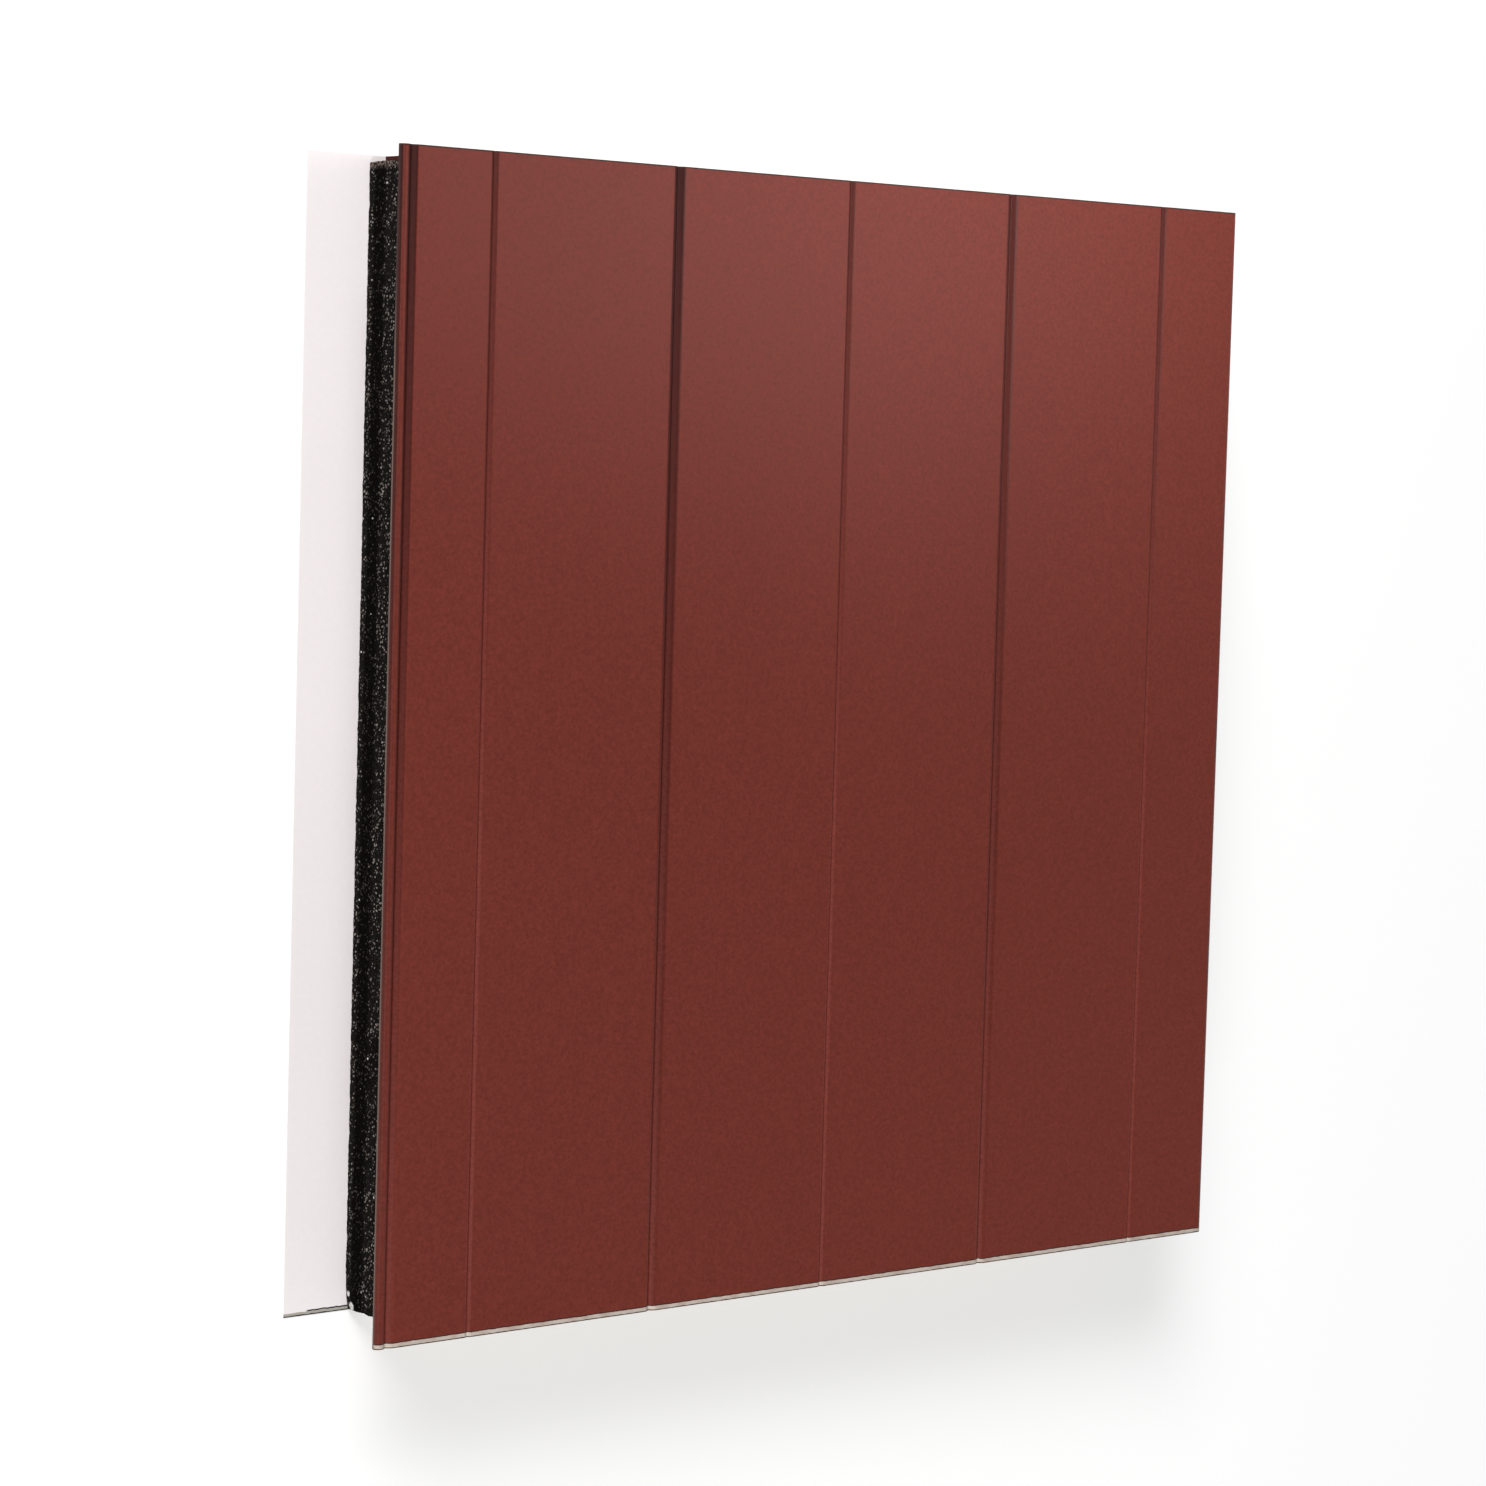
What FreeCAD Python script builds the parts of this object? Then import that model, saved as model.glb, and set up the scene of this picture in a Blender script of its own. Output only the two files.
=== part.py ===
"""Insulated sandwich panel: two steel facings on a rigid foam core, with an open joint along one edge.

The panel lies flat. X runs across its width, from the open joint at -X to the closed edge at +X, Y runs
along its length, and Z goes up from the inner facing, which it lies on, to the grooved outer facing.
The origin is the middle of the panel's underside. Sizes are in millimetres.
"""

import FreeCAD, Part
import os
from collections import namedtuple

import Sketcher
from FreeCAD import Vector

DIMENSIONS = (
    # alias, value, what it is
    ("panel_width", 1000, "overall width, across the outer facing"),
    ("panel_length", 1000, "overall length"),
    ("panel_thickness", 150, "over both facings"),
    ("outer_sheet", 0.6, "steel thickness of the outer facing"),
    ("inner_sheet", 0.5, "steel thickness of the inner facing"),
    ("recess_depth", 72, "joint edge of the outer facing to the seal"),
    ("inner_setback", 9, "joint edge of the inner facing, back from the outer one's"),
    ("seal_depth", 18, "seal strip, off the core"),
    ("seal_shortfall", 5, "bare stretch of the recess at the head end of the seal"),
    ("seal_corner", 3, "rounding of the seal's two free edges"),
    ("groove_pitch", 200, "between neighbouring grooves"),
    ("groove_start", 95, "joint edge to the middle of the first groove"),
    ("fine_depth", 1.8, "depth of a fine groove"),
    ("fine_shoulder", 3.5, "radius where a fine groove rolls over into the flat"),
    ("fine_root", 1.2, "radius at the bottom of a fine groove"),
    ("fine_slope", 38, "angle of a fine groove's walls to the flat"),
    ("deep_depth", 3, "depth of a deep groove"),
    ("deep_shoulder", 7, "radius where a deep groove rolls over into the flat"),
    ("deep_root", 1.5, "radius at the bottom of a deep groove"),
    ("deep_slope", 42, "angle of a deep groove's walls to the flat"),
    ("bead_width", 11, "joint edge to the middle of the deep groove behind the bead"),
    ("joint_bend", 4, "outside bend radius, outer facing's joint edge"),
    ("closed_bend", 8, "outside bend radius, outer facing's closed edge"),
    ("lining_bend", 3, "outside bend radius, inner facing's closed edge"),
    ("joint_return", 6, "reach of the outer facing's folded return, joint edge"),
    ("closed_return", 10, "reach of the outer facing's folded return, closed edge"),
    ("lining_return", 12, "reach of the inner facing's folded return"),
    ("fine_count", 3, "fine grooves, on every second pitch"),
    ("deep_count", 2, "deep grooves, between the fine ones"),
)

# Half the width, from the panel's middle plane to either edge of the outer facing.
HALF_WIDTH = "Sizes.panel_width / 2"

# A corner of a section. Its side to the next corner is straight, or an arc where a centre is given.
Corner = namedtuple("Corner", "x z centre", defaults=(None,))


def add_sheet(doc):
    """Put the driving dimensions in a spreadsheet, each under its own alias."""
    sheet = doc.addObject("Spreadsheet::Sheet", "Sizes")
    for row, (alias, value, meaning) in enumerate(DIMENSIONS, start=1):
        sheet.set(f"A{row}", meaning)
        sheet.set(f"B{row}", str(value))
        sheet.setAlias(f"B{row}", alias)
    doc.recompute()
    return sheet


def add_body(doc, label):
    """Start a sub-part as a body with its own label."""
    body = doc.addObject("PartDesign::Body", label)
    body.Label = label
    return body


def origin_feature(body, role):
    """Return one of the body's own origin planes or axes."""
    return next(item for item in body.Origin.OriginFeatures if item.Role == role)


def pin(sketch, geometry, point, direction, expression):
    """Hold one coordinate of a sketch point at the value of an expression."""
    value = float(sketch.evalExpression(expression))
    if abs(value) < 1e-9:
        axis = -2 if direction == "DistanceX" else -1
        sketch.addConstraint(Sketcher.Constraint("PointOnObject", geometry, point, axis))
        return
    if value > 0:
        constraint = Sketcher.Constraint(direction, -1, 1, geometry, point, value)
        signed = expression
    else:
        constraint = Sketcher.Constraint(direction, geometry, point, -1, 1, -value)
        signed = f"-({expression})"
    index = sketch.addConstraint(constraint)
    sketch.setExpression(f"Constraints[{index}]", signed)


def add_side(sketch, start, end, centre):
    """Draw one side of a section; return its number and which of its ends is the start and the end."""
    if centre is None:
        number = sketch.addGeometry(Part.LineSegment(start, end), False)
        return number, 1, 2
    radius = (start - centre).Length
    middle = centre + ((start + end) / 2 - centre).normalize() * radius
    number = sketch.addGeometry(Part.Arc(start, middle, end), False)
    drawn_forwards = (sketch.getPoint(number, 1) - start).Length < 1e-6
    return (number, 1, 2) if drawn_forwards else (number, 2, 1)


def add_section(body, name, corners):
    """Sketch a closed section across the panel, with every corner bound to the spreadsheet."""
    sketch = body.newObject("Sketcher::SketchObject", name)
    sketch.AttachmentSupport = [(origin_feature(body, "XZ_Plane"), "")]
    sketch.MapMode = "FlatFace"

    def located(x, z):
        return Vector(float(sketch.evalExpression(x)), float(sketch.evalExpression(z)), 0)

    sides = []
    for corner, following in zip(corners, corners[1:] + corners[:1]):
        centre = located(*corner.centre) if corner.centre else None
        start = located(corner.x, corner.z)
        end = located(following.x, following.z)
        sides.append(add_side(sketch, start, end, centre))
    for (number, _, end), (following, start, _) in zip(sides, sides[1:] + sides[:1]):
        sketch.addConstraint(Sketcher.Constraint("Coincident", number, end, following, start))
    for (number, start, _), corner in zip(sides, corners):
        pin(sketch, number, start, "DistanceX", corner.x)
        pin(sketch, number, start, "DistanceY", corner.z)
        if corner.centre:
            pin(sketch, number, 3, "DistanceY", corner.centre[1])
    body.Document.recompute()
    return sketch


def rectangle(left, right, low, high):
    """Corners of an upright rectangle."""
    return [Corner(left, low), Corner(right, low), Corner(right, high), Corner(left, high)]


def folded_return(side, turn, sheet, bend, reach):
    """Corners of a sheet's bend and return at one edge of the panel.

    side is "-1" for the joint edge and "1" for the closed edge; turn is "-1" where the return goes down
    from the facing and "1" where it goes up.
    """
    face = "0"
    outside = f"{side} * ({HALF_WIDTH})"
    inside = f"{side} * ({HALF_WIDTH} - {sheet})"
    bend_x = f"{side} * ({HALF_WIDTH} - {bend})"
    bend_z = f"{turn} * {bend}"
    return [
        Corner(bend_x, face, (bend_x, bend_z)),
        Corner(outside, bend_z),
        Corner(outside, f"{turn} * {reach}"),
        Corner(inside, f"{turn} * {reach}"),
        Corner(inside, bend_z, (bend_x, bend_z)),
        Corner(bend_x, f"{turn} * {sheet}"),
    ]


def rolled_profile(kind, middle, below):
    """Corners along a groove's surface, from its left lip to its right lip, at a depth below the outer one.

    Each side rolls over a shoulder into a straight wall, and the walls meet in a round root. The two
    surfaces of the sheet share the centres of those bends, so the steel keeps its thickness.
    """
    shoulder = f"Sizes.{kind}_shoulder"
    root = f"Sizes.{kind}_root"
    run = f"sin(Sizes.{kind}_slope)"
    rise = f"cos(Sizes.{kind}_slope)"
    bends = f"({shoulder} + {root})"
    wall = f"(Sizes.{kind}_depth - {bends} * (1 - {rise})) * {rise} / {run}"
    half_mouth = f"({bends} * {run} + {wall})"
    shoulder_z = f"-{shoulder}"
    root_z = f"{root} - Sizes.{kind}_depth"
    outside = f"({shoulder} - {below})"
    inside = f"({root} + {below})"

    def side(sign):
        lip = f"{middle} + {sign} * {half_mouth}"
        lip_corner = Corner(lip, f"-{below}")
        shoulder_end = Corner(f"{lip} - {sign} * {outside} * {run}", f"{shoulder_z} + {outside} * {rise}")
        root_end = Corner(f"{middle} + {sign} * {inside} * {run}", f"{root_z} - {inside} * {rise}")
        return lip_corner, shoulder_end, root_end, (lip, shoulder_z)

    left_lip, left_shoulder, left_root, left_centre = side("-1")
    right_lip, right_shoulder, right_root, right_centre = side("1")
    return [
        left_lip._replace(centre=left_centre),
        left_shoulder,
        left_root._replace(centre=(middle, root_z)),
        right_root,
        right_shoulder._replace(centre=right_centre),
        right_lip,
    ]


def closed_above(profile, height):
    """Close a groove's profile with a straight-sided space up to a height over its lips."""
    return profile + [Corner(profile[-1].x, height), Corner(profile[0].x, height)]


def groove_channel(kind, middle):
    """Corners of the channel that a groove takes out of the sheet's outer side."""
    return closed_above(rolled_profile(kind, middle, "0"), "2")


def groove_trough(kind, middle):
    """Corners of the ridge that the same groove makes on the sheet's inner side."""
    return closed_above(rolled_profile(kind, middle, "Sizes.outer_sheet"), "-Sizes.outer_sheet / 2")


def extrude(body, kind, sketch, name):
    """Pad or pocket a section evenly along the panel's length."""
    feature = body.newObject(f"PartDesign::{kind}", name)
    feature.Profile = sketch
    feature.SideType = "Symmetric"
    feature.Type = "Length"
    feature.setExpression("Length", "Sizes.panel_length")
    sketch.Visibility = False
    body.Document.recompute()
    return feature


def repeat_across(body, features, kind, name):
    """Repeat a groove's features on every second pitch across the panel."""
    pattern = body.newObject("PartDesign::LinearPattern", name)
    pattern.Originals = features
    pattern.Direction = (origin_feature(body, "X_Axis"), [""])
    pattern.setExpression("Occurrences", f"Sizes.{kind}_count")
    pattern.setExpression("Length", f"(Sizes.{kind}_count - 1) * 2 * Sizes.groove_pitch")
    body.Tip = pattern
    body.Document.recompute()
    return pattern


FIRST_FINE = f"(Sizes.groove_start - {HALF_WIDTH})"
FIRST_DEEP = f"(Sizes.groove_start + Sizes.groove_pitch - {HALF_WIDTH})"
BEAD_GROOVE = f"(Sizes.bead_width - {HALF_WIDTH})"


def roll_groove(body, kind, middle, name):
    """Roll one groove into the outer facing: a trough below the sheet, then the channel down into it."""
    trough = add_section(body, f"{name}_trough_section", groove_trough(kind, middle))
    channel = add_section(body, f"{name}_channel_section", groove_channel(kind, middle))
    return [
        extrude(body, "Pad", trough, f"{name}_trough"),
        extrude(body, "Pocket", channel, f"{name}_channel"),
    ]


def build_outer_facing(doc):
    """Profiled steel sheet, its outer surface at the panel's full thickness."""
    body = add_body(doc, "outer_facing")
    body.setExpression("Placement.Base.z", "Sizes.panel_thickness")
    field = rectangle(f"Sizes.joint_bend - {HALF_WIDTH}", f"{HALF_WIDTH} - Sizes.closed_bend",
                      "-Sizes.outer_sheet", "0")
    extrude(body, "Pad", add_section(body, "field_section", field), "field")
    joint_return = folded_return("-1", "-1", "Sizes.outer_sheet", "Sizes.joint_bend", "Sizes.joint_return")
    extrude(body, "Pad", add_section(body, "joint_return_section", joint_return), "joint_return")
    closed_return = folded_return("1", "-1", "Sizes.outer_sheet", "Sizes.closed_bend", "Sizes.closed_return")
    extrude(body, "Pad", add_section(body, "closed_return_section", closed_return), "closed_return")
    roll_groove(body, "deep", BEAD_GROOVE, "bead")
    repeat_across(body, roll_groove(body, "fine", FIRST_FINE, "fine"), "fine", "fine_grooves")
    repeat_across(body, roll_groove(body, "deep", FIRST_DEEP, "deep"), "deep", "deep_grooves")
    return body


def build_inner_facing(doc):
    """Flat steel sheet that the panel lies on, set back at the joint and folded up at the closed edge."""
    body = add_body(doc, "inner_facing")
    field = rectangle(f"Sizes.inner_setback - {HALF_WIDTH}", f"{HALF_WIDTH} - Sizes.lining_bend",
                      "0", "Sizes.inner_sheet")
    extrude(body, "Pad", add_section(body, "field_section", field), "field")
    closed_return = folded_return("1", "1", "Sizes.inner_sheet", "Sizes.lining_bend", "Sizes.lining_return")
    extrude(body, "Pad", add_section(body, "closed_return_section", closed_return), "closed_return")
    return body


def build_insulation_core(doc):
    """Rigid foam that fills the panel between the facings, from the seal to the closed edge."""
    body = add_body(doc, "insulation_core")
    body.setExpression("Placement.Base.z", "Sizes.panel_thickness")
    joint_face = f"Sizes.recess_depth + Sizes.seal_depth - {HALF_WIDTH}"
    closed_face = f"({HALF_WIDTH} - Sizes.outer_sheet)"
    top = "-Sizes.outer_sheet"
    bottom = "(Sizes.inner_sheet - Sizes.panel_thickness)"
    upper_x = f"{HALF_WIDTH} - Sizes.closed_bend"
    upper_z = "-Sizes.closed_bend"
    lower_x = f"{HALF_WIDTH} - Sizes.lining_bend"
    lower_z = f"{bottom} + Sizes.lining_bend - Sizes.outer_sheet"
    block = [
        Corner(joint_face, bottom),
        Corner(lower_x, bottom, (lower_x, lower_z)),
        Corner(closed_face, lower_z),
        Corner(closed_face, upper_z, (upper_x, upper_z)),
        Corner(upper_x, top),
        Corner(joint_face, top),
    ]
    extrude(body, "Pad", add_section(body, "block_section", block), "block")
    for kind, middle in (("fine", FIRST_FINE), ("deep", FIRST_DEEP)):
        trough = add_section(body, f"{kind}_trough_section", groove_trough(kind, middle))
        repeat_across(body, [extrude(body, "Pocket", trough, f"{kind}_trough")], kind, f"{kind}_troughs")
    return body


def build_joint_seal(doc):
    """Soft foam strip on the core's joint side, from facing to facing, its two free edges rounded.

    It stops short of the head end.
    """
    body = add_body(doc, "joint_seal")
    body.setExpression("Placement.Base.y", "-Sizes.seal_shortfall / 2")
    body.setExpression("Placement.Base.z", "Sizes.panel_thickness")
    free_face = f"Sizes.recess_depth - {HALF_WIDTH}"
    back_face = f"Sizes.recess_depth + Sizes.seal_depth - {HALF_WIDTH}"
    top = "-Sizes.outer_sheet"
    bottom = "(Sizes.inner_sheet - Sizes.panel_thickness)"
    round_x = f"{free_face} + Sizes.seal_corner"
    lower_z = f"{bottom} + Sizes.seal_corner"
    upper_z = f"{top} - Sizes.seal_corner"
    strip = [
        Corner(back_face, bottom),
        Corner(back_face, top),
        Corner(round_x, top, (round_x, upper_z)),
        Corner(free_face, upper_z),
        Corner(free_face, lower_z, (round_x, lower_z)),
        Corner(round_x, bottom),
    ]
    pad = extrude(body, "Pad", add_section(body, "strip_section", strip), "strip")
    pad.setExpression("Length", "Sizes.panel_length - Sizes.seal_shortfall")
    return body


def check(doc, bodies):
    """Stop on any failed object or unsound solid."""
    for item in doc.Objects:
        if "Invalid" in item.State or "Error" in item.State:
            raise RuntimeError(f"{item.Name} failed: {item.State}")
    for body in bodies:
        shape = body.Shape
        if shape.isNull() or not shape.isValid() or len(shape.Solids) != 1:
            raise RuntimeError(f"{body.Label} is not one valid solid")


def main():
    """Build the panel, check it and write each sub-part as a STEP file."""
    doc = FreeCAD.newDocument("InsulatedSandwichPanel")
    add_sheet(doc)
    builders = (build_outer_facing, build_inner_facing, build_insulation_core, build_joint_seal)
    bodies = [build(doc) for build in builders]
    doc.recompute()
    check(doc, bodies)
    os.makedirs("parts", exist_ok=True)
    for body in bodies:
        box = body.Shape.BoundBox
        print(f"{body.Label}: {body.Shape.Volume / 1000:.1f} cm3, "
              f"X {box.XMin:.1f} to {box.XMax:.1f}, Y {box.YMin:.1f} to {box.YMax:.1f}, "
              f"Z {box.ZMin:.1f} to {box.ZMax:.1f}")
        body.Shape.exportStep(f"parts/{body.Label}.step")


main()
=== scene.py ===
"""Insulated sandwich panel: its looks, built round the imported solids.

The panel lies flat on the floor. X runs across it, from the open joint at -X to the closed edge at +X,
Y runs from the foot end to the head end, and Z goes up to the red outer sheet. Sizes are in metres.
"""

import logging
import math
from dataclasses import dataclass, field
from enum import Enum
from typing import Callable, Optional, Union

import bpy
import bmesh
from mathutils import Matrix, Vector, noise


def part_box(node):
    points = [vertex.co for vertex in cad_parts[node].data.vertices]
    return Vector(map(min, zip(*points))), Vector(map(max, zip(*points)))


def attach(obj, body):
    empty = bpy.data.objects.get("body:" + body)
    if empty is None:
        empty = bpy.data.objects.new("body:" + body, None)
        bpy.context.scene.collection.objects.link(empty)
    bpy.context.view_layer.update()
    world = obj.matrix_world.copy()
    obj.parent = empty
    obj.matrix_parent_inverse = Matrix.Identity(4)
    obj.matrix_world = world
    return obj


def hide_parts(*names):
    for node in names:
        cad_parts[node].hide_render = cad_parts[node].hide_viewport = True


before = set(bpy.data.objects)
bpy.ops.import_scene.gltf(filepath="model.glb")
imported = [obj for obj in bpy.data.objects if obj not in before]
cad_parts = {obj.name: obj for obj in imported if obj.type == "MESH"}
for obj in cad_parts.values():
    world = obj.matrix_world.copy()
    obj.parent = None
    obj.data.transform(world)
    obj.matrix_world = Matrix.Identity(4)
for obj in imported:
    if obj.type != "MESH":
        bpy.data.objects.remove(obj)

LOG = logging.getLogger("panel")
MM = 0.001

Colour = tuple[float, float, float, float]
Place = tuple[float, float, float]
Range = tuple[float, float]
Stripe = tuple[float, float, float, float]
Socket = bpy.types.NodeSocket
Value = Union[float, bpy.types.NodeSocket]


class Slot(Enum):
    """Names of the material slots of the record."""

    RED_COAT = "red_coated_steel"
    WHITE_COAT = "white_coated_steel"
    BLACK_FOAM = "black_foam"


class Rolled(Enum):
    """The two groove sections: depth, shoulder radius, root radius and wall slope in degrees."""

    FINE = (1.8 * MM, 3.5 * MM, 1.2 * MM, 38.0)
    DEEP = (3.0 * MM, 7.0 * MM, 1.5 * MM, 42.0)


# ---------------------------------------------------------------------------------------------------------
# Shader graphs


class Nodes:
    """A node tree, with short calls for the nodes that the finishes and the studio share."""

    def __init__(self, tree: bpy.types.NodeTree) -> None:
        """Empty the tree.

        Args:
            tree: The node tree of a material or a world.
        """
        self.tree = tree
        self.tree.nodes.clear()

    def wire(self, source: Socket, target: Socket) -> None:
        """Link one socket to another."""
        self.tree.links.new(source, target)

    def feed(self, target: Socket, value: object) -> None:
        """Set a socket to a plain value, or link another socket to it."""
        if isinstance(value, Socket):
            self.wire(value, target)
        else:
            target.default_value = value

    def math(self, operation: str, first: Value, second: Value = 0.0, clamp: bool = False) -> Socket:
        """Work out one sum on numbers or sockets.

        Args:
            operation: The Math node's operation.
            first: Its first value.
            second: Its second value.
            clamp: Keep the result from 0 to 1.

        Returns:
            The result's socket.
        """
        node = self.tree.nodes.new("ShaderNodeMath")
        node.operation = operation
        node.use_clamp = clamp
        self.feed(node.inputs[0], first)
        self.feed(node.inputs[1], second)
        return node.outputs[0]

    def times(self, first: Value, *others: Value) -> Value:
        """Multiply numbers or sockets."""
        for other in others:
            first = self.math("MULTIPLY", first, other)
        return first

    def plus(self, first: Value, second: Value) -> Socket:
        """Add two numbers or sockets."""
        return self.math("ADD", first, second)

    def minus(self, first: Value, second: Value) -> Socket:
        """Take the second number or socket from the first."""
        return self.math("SUBTRACT", first, second)

    def most(self, first: Value, *others: Value) -> Value:
        """The largest of some numbers or sockets."""
        for other in others:
            first = self.math("MAXIMUM", first, other)
        return first

    def span(self, value: Value, low: float, high: float, out: Range = (0.0, 1.0), smooth: bool = True) -> Socket:
        """Map a range of values onto another, held at both ends.

        Args:
            value: What is mapped.
            low: Where the output is out's first number.
            high: Where it is out's second number.
            out: The two ends of the output.
            smooth: Ease in and out instead of a straight ramp.

        Returns:
            The mapped value's socket.
        """
        node = self.tree.nodes.new("ShaderNodeMapRange")
        node.interpolation_type = "SMOOTHSTEP" if smooth else "LINEAR"
        self.feed(node.inputs["Value"], value)
        node.inputs["From Min"].default_value = low
        node.inputs["From Max"].default_value = high
        node.inputs["To Min"].default_value = out[0]
        node.inputs["To Max"].default_value = out[1]
        return node.outputs[0]

    def fade(self, value: Value, start: float, edges: Range, smooth: bool = True) -> Socket:
        """Rise from 0 to 1 between two edges that are measured from a place.

        Args:
            value: What the fade is laid along.
            start: Where the edges are measured from.
            edges: Where it is 0 and where it is 1.
            smooth: Ease in and out instead of a straight ramp.

        Returns:
            The fade's socket.
        """
        return self.span(value, start + edges[0], start + edges[1], smooth=smooth)

    def stripe(self, value: Value, start: float, edges: Stripe) -> Socket:
        """A stripe that fades in and out again.

        Args:
            value: What the stripe is laid along.
            start: Where the edges are measured from.
            edges: Where it starts, is full, begins to fade and ends.

        Returns:
            A socket that is 1 inside the stripe and 0 outside.
        """
        begins, full, fades, ends = (start + edge for edge in edges)
        return self.times(self.span(value, ends, fades), self.span(value, begins, full))

    def seen_directly(self) -> Socket:
        """1 for rays from the camera, also by way of a gloss or through glass, and 0 for light."""
        ray = self.tree.nodes.new("ShaderNodeLightPath")
        direct = self.plus(ray.outputs["Is Camera Ray"], ray.outputs["Is Glossy Ray"])
        return self.math("ADD", direct, ray.outputs["Is Transmission Ray"], clamp=True)

    def split(self, kind: str, source: Socket) -> bpy.types.NodeOutputs:
        """Take a vector or a colour apart.

        Args:
            kind: XYZ or Color.
            source: What is taken apart.

        Returns:
            The three outputs.
        """
        node = self.tree.nodes.new("ShaderNodeSeparate" + kind)
        self.wire(source, node.inputs[0])
        return node.outputs

    def choose_shader(self, factor: Socket, first: Socket, second: Socket, output: bpy.types.Node) -> None:
        """Show one shader or another.

        Args:
            factor: 0 gives the first shader and 1 the second.
            first: A shader's socket.
            second: A shader's socket.
            output: The tree's output node.
        """
        pick = self.tree.nodes.new("ShaderNodeMixShader")
        for source, target in zip((factor, first, second), pick.inputs):
            self.wire(source, target)
        self.wire(pick.outputs[0], output.inputs["Surface"])


@dataclass(frozen=True)
class Cloud:
    """A cloudy noise: its cycles per metre, its detail and roughness, and how it is squeezed along each axis."""

    scale: float
    detail: float = 2.0
    roughness: float = 0.5
    squeeze: Place = (1.0, 1.0, 1.0)


class Graph(Nodes):
    """A material's node tree on Object coordinates, ending in a Principled shader."""

    def __init__(self, name: str, low: Vector = Vector(), high: Vector = Vector()) -> None:
        """Start an empty material.

        Args:
            name: The material's name.
            low: The lowest corner of the piece that it is for.
            high: That piece's highest corner.
        """
        self.low, self.high = low, high
        self.material = bpy.data.materials.new(name)
        self.material.use_nodes = True
        super().__init__(self.material.node_tree)
        self.output = self.tree.nodes.new("ShaderNodeOutputMaterial")
        self.shader = self.tree.nodes.new("ShaderNodeBsdfPrincipled")
        self.wire(self.shader.outputs["BSDF"], self.output.inputs["Surface"])
        self.place = self.tree.nodes.new("ShaderNodeTexCoord").outputs["Object"]
        self.x, self.y, self.z = self.split("XYZ", self.place)

    def stretched(self, scale: Place) -> Socket:
        """Object coordinates times a scale along each axis, for a pattern that runs one way."""
        node = self.tree.nodes.new("ShaderNodeMapping")
        self.wire(self.place, node.inputs["Vector"])
        node.inputs["Scale"].default_value = scale
        return node.outputs[0]

    def noise(self, cloud: Cloud) -> Socket:
        """Cloudy noise, 0 to 1."""
        node = self.tree.nodes.new("ShaderNodeTexNoise")
        self.wire(self.stretched(cloud.squeeze), node.inputs["Vector"])
        node.inputs["Scale"].default_value = cloud.scale
        node.inputs["Detail"].default_value = cloud.detail
        node.inputs["Roughness"].default_value = cloud.roughness
        return node.outputs[0]

    def cells(self, scale: float, feature: str = "F1", vector: Optional[Socket] = None) -> bpy.types.Node:
        """Voronoi cells at a scale in cells per metre."""
        node = self.tree.nodes.new("ShaderNodeTexVoronoi")
        node.feature = feature
        self.wire(vector or self.place, node.inputs["Vector"])
        node.inputs["Scale"].default_value = scale
        return node

    def blend(self, factor: Value, first: object, second: object, mode: str = "MIX") -> Socket:
        """Mix two colours.

        Args:
            factor: 0 gives the first colour and 1 the second.
            first: A colour or a socket.
            second: A colour or a socket.
            mode: The blend type.

        Returns:
            The mixed colour's socket.
        """
        node = self.tree.nodes.new("ShaderNodeMix")
        node.data_type = "RGBA"
        node.blend_type = mode
        self.feed(node.inputs[0], factor)
        self.feed(node.inputs[6], first)
        self.feed(node.inputs[7], second)
        return node.outputs[2]

    def shaded(self, colour: Colour, shade: Socket) -> Socket:
        """A colour made lighter or darker by a number."""
        node = self.tree.nodes.new("ShaderNodeCombineColor")
        for channel in node.inputs[:3]:
            self.wire(shade, channel)
        return self.blend(1.0, colour, node.outputs[0], "MULTIPLY")

    def gap(self, point: Place) -> Socket:
        """Distance from one point of the object."""
        node = self.tree.nodes.new("ShaderNodeVectorMath")
        node.operation = "DISTANCE"
        self.wire(self.place, node.inputs[0])
        node.inputs[1].default_value = point
        return node.outputs["Value"]

    def ragged_length(self, cloud: Cloud, wobble: float) -> Socket:
        """Place along the panel, made uneven for the edges of a cut.

        Args:
            cloud: The unevenness.
            wobble: How far it goes either way.

        Returns:
            The uneven place's socket.
        """
        return self.plus(self.y, self.span(self.noise(cloud), 0.3, 0.7, (-wobble, wobble), False))

    def uneven(self, pattern: Socket, middle: float, drift: float) -> Socket:
        """A value that follows a pattern a little to either side of its middle."""
        return self.span(pattern, 0.2, 0.8, (middle - drift, middle + drift), False)

    def bump(self, height: Socket, depth: float, strength: float = 1.0, under: Optional[Socket] = None) -> Socket:
        """A surface normal from a height, 0 to 1, of a depth in metres."""
        node = self.tree.nodes.new("ShaderNodeBump")
        node.inputs["Strength"].default_value = strength
        node.inputs["Distance"].default_value = depth
        self.wire(height, node.inputs["Height"])
        if under is not None:
            self.wire(under, node.inputs["Normal"])
        return node.outputs[0]

    def set(self, **values: object) -> None:
        """Set or link the Principled shader's sockets, named with underscores for spaces."""
        for name, value in values.items():
            self.feed(self.shader.inputs[name.replace("_", " ")], value)


def rgb(red: float, green: float, blue: float) -> Colour:
    """A colour given as 0 to 255 screen values, as the linear colour that a shader takes."""

    def linear(value: float) -> float:
        """One channel, from the sRGB curve to linear light."""
        share = value / 255.0
        return share / 12.92 if share <= 0.04045 else ((share + 0.055) / 1.055) ** 2.4

    return linear(red), linear(green), linear(blue), 1.0


# ---------------------------------------------------------------------------------------------------------
# Finishes


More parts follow.
